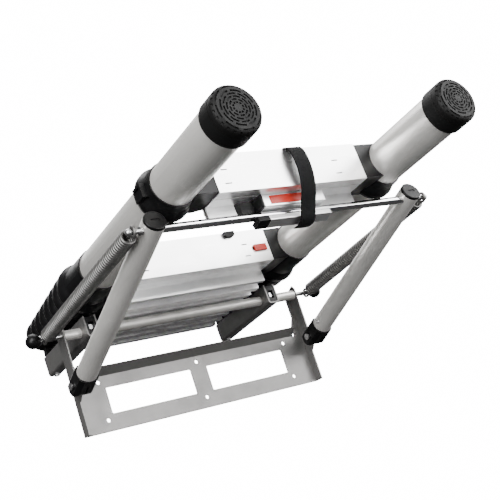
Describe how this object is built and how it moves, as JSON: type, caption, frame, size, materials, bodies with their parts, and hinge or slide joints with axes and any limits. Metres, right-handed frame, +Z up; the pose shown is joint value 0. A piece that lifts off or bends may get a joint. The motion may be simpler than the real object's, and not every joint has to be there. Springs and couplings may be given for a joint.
{
  "type": "telescopic attic ladder",
  "caption": "Telescopic attic ladder folded on its hatch bracket, with spring-balanced struts, a cross rod, rubber feet and sliding nested sections.",
  "frame": {"origin": "centre of the screw pattern on the bracket's back face", "axes": "+X along the bracket, +Y into the wall, +Z up the wall"},
  "size_m": [0.6288, 0.7894, 0.3142],
  "materials": {
    "bracket_steel": "satin grey powder coat",
    "tube_aluminium": "satin anodised",
    "rung_aluminium": "bright anodised",
    "strut_aluminium": "satin",
    "black_plastic": "matt",
    "black_rubber": "matt",
    "chrome_steel": "polished",
    "zinc_steel": "bright zinc",
    "spring_steel": "oiled",
    "red_plastic": "semi-gloss",
    "label": "printed",
    "webbing": "woven"
  },
  "bodies": {
    "wall_bracket": {"bracket": "bracket_steel", "axle_rod": "zinc_steel", "axle_washers": "zinc_steel", "axle_caps": "black_plastic", "strut_pivot_pins": "zinc_steel", "spring_left": "spring_steel", "spring_right": "spring_steel"},
    "swing_head": {"axle_tube": "strut_aluminium", "axle_bushes": "black_plastic", "channels": "bracket_steel", "pivot_blocks": "black_plastic", "block_bolts": "zinc_steel", "channel_bolts": "zinc_steel", "stile_tubes_8": "tube_aluminium", "collars_9": "black_plastic", "rung_9": "rung_aluminium"},
    "strut_frame": {"strut_tubes": "strut_aluminium", "strut_caps": "black_plastic", "knuckles": "black_plastic", "strut_screws": "zinc_steel", "cross_rod": "chrome_steel", "spring_pins": "zinc_steel", "clamp_bar": "rung_aluminium", "clamp_bar_cap": "black_plastic"},
    "section_7": {"stile_tubes_7": "tube_aluminium", "collars_8": "black_plastic", "rung_8": "rung_aluminium"},
    "section_6": {"stile_tubes_6": "tube_aluminium", "collars_7": "black_plastic", "rung_7": "rung_aluminium"},
    "section_5": {"stile_tubes_5": "tube_aluminium", "collars_6": "black_plastic", "rung_6": "rung_aluminium"},
    "section_4": {"stile_tubes_4": "tube_aluminium", "collars_5": "black_plastic", "rung_5": "rung_aluminium"},
    "section_3": {"stile_tubes_3": "tube_aluminium", "collars_4": "black_plastic", "rung_4": "rung_aluminium"},
    "section_2": {"stile_tubes_2": "tube_aluminium", "collars_3": "black_plastic", "rung_3": "rung_aluminium"},
    "section_1": {"stile_tubes_1": "tube_aluminium", "collars_1": "black_plastic", "collars_2": "black_plastic", "rung_1": "rung_aluminium", "rung_2": "rung_aluminium", "feet": "black_rubber", "foot_soles": "black_rubber", "stop": "black_rubber", "rest_pad": "rung_aluminium", "rest_pad_cap": "black_plastic", "label_plate": "label", "strap": "webbing"},
    "release": {"release_slide": "red_plastic", "lock_pin_right": "zinc_steel"},
    "left_lock": {"lock_pin_left": "zinc_steel"}
  },
  "joints": [
    {"name": "ladder_swing", "type": "hinge", "parent": "wall_bracket", "child": "swing_head", "pos_m": [0, -0.0195, 0.1205], "axis": [1, 0, 0], "range_deg": [0, 69.5], "deforming": ["strap"]},
    {"name": "strut_swing", "type": "hinge", "parent": "wall_bracket", "child": "strut_frame", "pos_m": [0, -0.0425, 0.0285], "axis": [1, 0, 0], "range_deg": [0, 82.1], "deforming": ["spring_left", "spring_right"]},
    {"name": "slide_7", "type": "slide", "parent": "swing_head", "child": "section_7", "axis": [0, -0.9981, 0.061], "range_m": [0, 0.2722]},
    {"name": "slide_6", "type": "slide", "parent": "section_7", "child": "section_6", "axis": [0, -0.9981, 0.061], "range_m": [0, 0.2722]},
    {"name": "slide_5", "type": "slide", "parent": "section_6", "child": "section_5", "axis": [0, -0.9981, 0.061], "range_m": [0, 0.2722]},
    {"name": "slide_4", "type": "slide", "parent": "section_5", "child": "section_4", "axis": [0, -0.9981, 0.061], "range_m": [0, 0.2722]},
    {"name": "slide_3", "type": "slide", "parent": "section_4", "child": "section_3", "axis": [0, -0.9981, 0.061], "range_m": [0, 0.2722]},
    {"name": "slide_2", "type": "slide", "parent": "section_3", "child": "section_2", "axis": [0, -0.9981, 0.061], "range_m": [0, 0.2722]},
    {"name": "slide_1", "type": "slide", "parent": "section_2", "child": "section_1", "axis": [0, -0.9981, 0.061], "range_m": [0, 0.2722]},
    {"name": "release_press", "type": "slide", "parent": "section_1", "child": "release", "axis": [-1, 0, 0], "range_m": [0, 0.009], "stiffness_N_per_m": 800},
    {"name": "left_lock_draw", "type": "slide", "parent": "section_1", "child": "left_lock", "axis": [1, 0, 0], "range_m": [0, 0.009], "stiffness_N_per_m": 200}
  ],
  "couplings": [
    {"joint": "strut_swing", "follows": "ladder_swing", "ratio": 1.18},
    {"joint": "left_lock_draw", "follows": "release_press", "ratio": 1}
  ]
}
